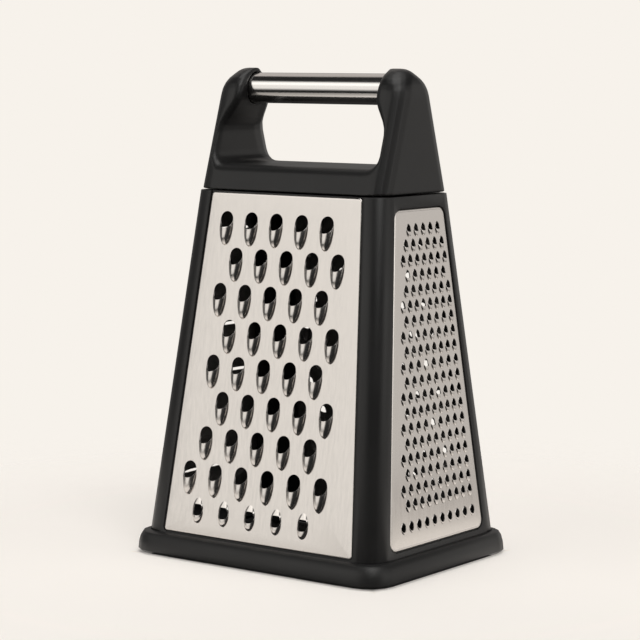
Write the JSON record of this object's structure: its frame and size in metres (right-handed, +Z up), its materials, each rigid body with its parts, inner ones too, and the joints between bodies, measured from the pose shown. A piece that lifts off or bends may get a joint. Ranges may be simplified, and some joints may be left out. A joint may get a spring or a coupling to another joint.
{
  "type": "hand grater",
  "caption": "Box grater for kitchen use: tapered four-sided body with coarse, fine, medium and slicing plates, a steel bar handle and a non-slip base ring.",
  "frame": {"origin": "centre of the base on the surface that the foot pads stand on", "axes": "+Z up, the coarse plate faces -Y, the fine plate faces +X, the bar handle runs along X"},
  "size_m": [0.1614, 0.1278, 0.254],
  "materials": {
    "black_plastic": "fine moulded satin",
    "base_plastic": "fine moulded satin, slightly softer",
    "brushed_sheet": "brushed up and down, polished edges",
    "bar_steel": "fine turned, nearly polished",
    "plug_nylon": "plain moulded",
    "pad_rubber": "matt",
    "screw_steel": "plain zinc plated"
  },
  "bodies": {
    "root": {"body_frame": "black_plastic", "handle_housing": "black_plastic", "base_ring": "base_plastic", "coarse_plate": "brushed_sheet", "fine_plate": "brushed_sheet", "medium_plate": "brushed_sheet", "slicing_plate": "brushed_sheet", "handle_bar": "bar_steel", "bar_plug_left": "plug_nylon", "bar_plug_right": "plug_nylon", "foot_pad_1": "pad_rubber", "foot_pad_2": "pad_rubber", "foot_pad_3": "pad_rubber", "foot_pad_4": "pad_rubber", "housing_screw_1": "screw_steel", "housing_screw_2": "screw_steel", "housing_screw_3": "screw_steel", "housing_screw_4": "screw_steel", "base_screw_1": "screw_steel", "base_screw_2": "screw_steel", "base_screw_3": "screw_steel", "base_screw_4": "screw_steel"}
  },
  "joints": []
}
